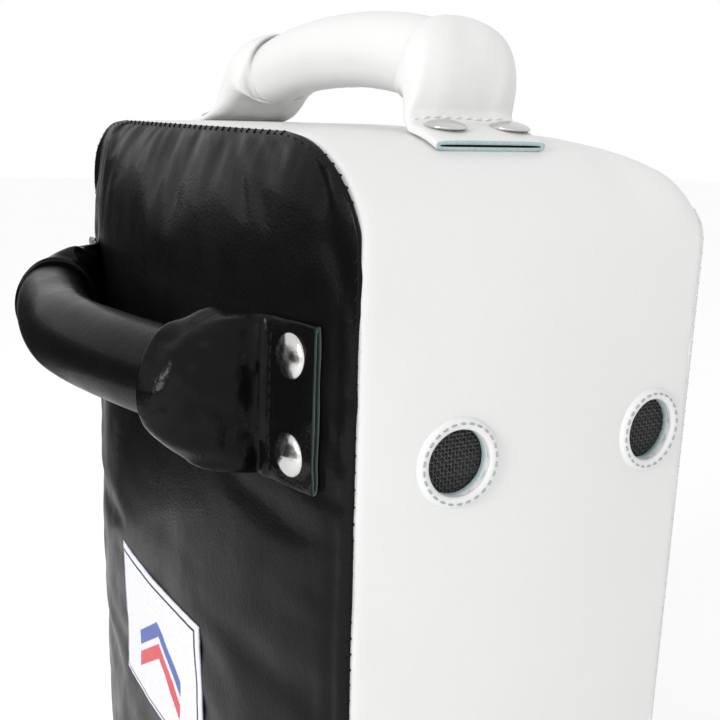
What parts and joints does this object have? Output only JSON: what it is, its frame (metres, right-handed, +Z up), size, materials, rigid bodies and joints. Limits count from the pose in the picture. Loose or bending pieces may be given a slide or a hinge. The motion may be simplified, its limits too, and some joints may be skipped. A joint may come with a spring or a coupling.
{
  "type": "thai pad",
  "caption": "Thick leather-covered foam thai pad with a padded grip on its back, a carry handle on top, side eyelets and a hook-and-loop forearm strap.",
  "frame": {"origin": "middle of the flat bottom edge of the pad body, half way between the seam of the back panel and the front face", "axes": "+Z up the pad towards the carry handle, +X across its width, +Y out of the front face that carries the forearm strap"},
  "size_m": [0.242, 0.22, 0.4555],
  "materials": {
    "black_leather": "glossy finished cowhide with soft creases",
    "white_leather": "smooth semi-matte finished cowhide",
    "backing_leather": "raw suede split",
    "foam": "closed-cell sheet foam",
    "mesh": "open woven mesh",
    "label_cloth": null,
    "hook_and_loop": "hook and loop pile",
    "nickel": "bright nickel plate with light wear"
  },
  "bodies": {
    "pad": {"back_backing_strips": "backing_leather", "back_cover": "black_leather", "back_cuff_left": "black_leather", "back_cuff_right": "black_leather", "back_foam": "foam", "back_rivet_caps": "nickel", "back_rivet_posts": "nickel", "back_rivet_washers": "nickel", "core_foam": "foam", "front_cover": "white_leather", "front_foam": "foam", "label_patch": "label_cloth", "side_band": "white_leather", "strap_anchor": "white_leather", "strap_backing_strips": "backing_leather", "strap_loop_patch": "hook_and_loop", "strap_rivet_caps": "nickel", "strap_rivet_posts": "nickel", "strap_rivet_washers": "nickel", "strap_tab": "white_leather", "top_backing_strips": "backing_leather", "top_cuff_left": "white_leather", "top_cuff_right": "white_leather", "top_rivet_caps": "nickel", "top_rivet_posts": "nickel", "top_rivet_washers": "nickel", "vent_mesh_left": "mesh", "vent_mesh_right": "mesh", "vent_rings_left": "white_leather", "vent_rings_right": "white_leather"},
    "back_handle": {"back_grip_core": "foam", "back_grip_sleeve": "black_leather"},
    "top_handle": {"top_grip_core": "foam", "top_grip_sleeve": "white_leather"},
    "forearm_strap": {"strap_band": "white_leather", "strap_hook_patch": "hook_and_loop"}
  },
  "joints": [
    {"name": "back_handle_tilt", "type": "hinge", "parent": "pad", "child": "back_handle", "pos_m": [0, -0.0705, 0.3394], "axis": [1, 0, 0], "range_deg": [-15, 15], "stiffness_Nm_per_rad": 2, "deforming": ["back_cuff_left", "back_cuff_right"]},
    {"name": "top_handle_tilt", "type": "hinge", "parent": "pad", "child": "top_handle", "pos_m": [0, -0.006, 0.415], "axis": [1, 0, 0], "range_deg": [-20, 20], "stiffness_Nm_per_rad": 2, "deforming": ["top_cuff_left", "top_cuff_right"]},
    {"name": "strap_open", "type": "hinge", "parent": "pad", "child": "forearm_strap", "pos_m": [-0.0918, 0.0663, 0.206], "axis": [0, 0, 1], "range_deg": [0, 95]}
  ]
}
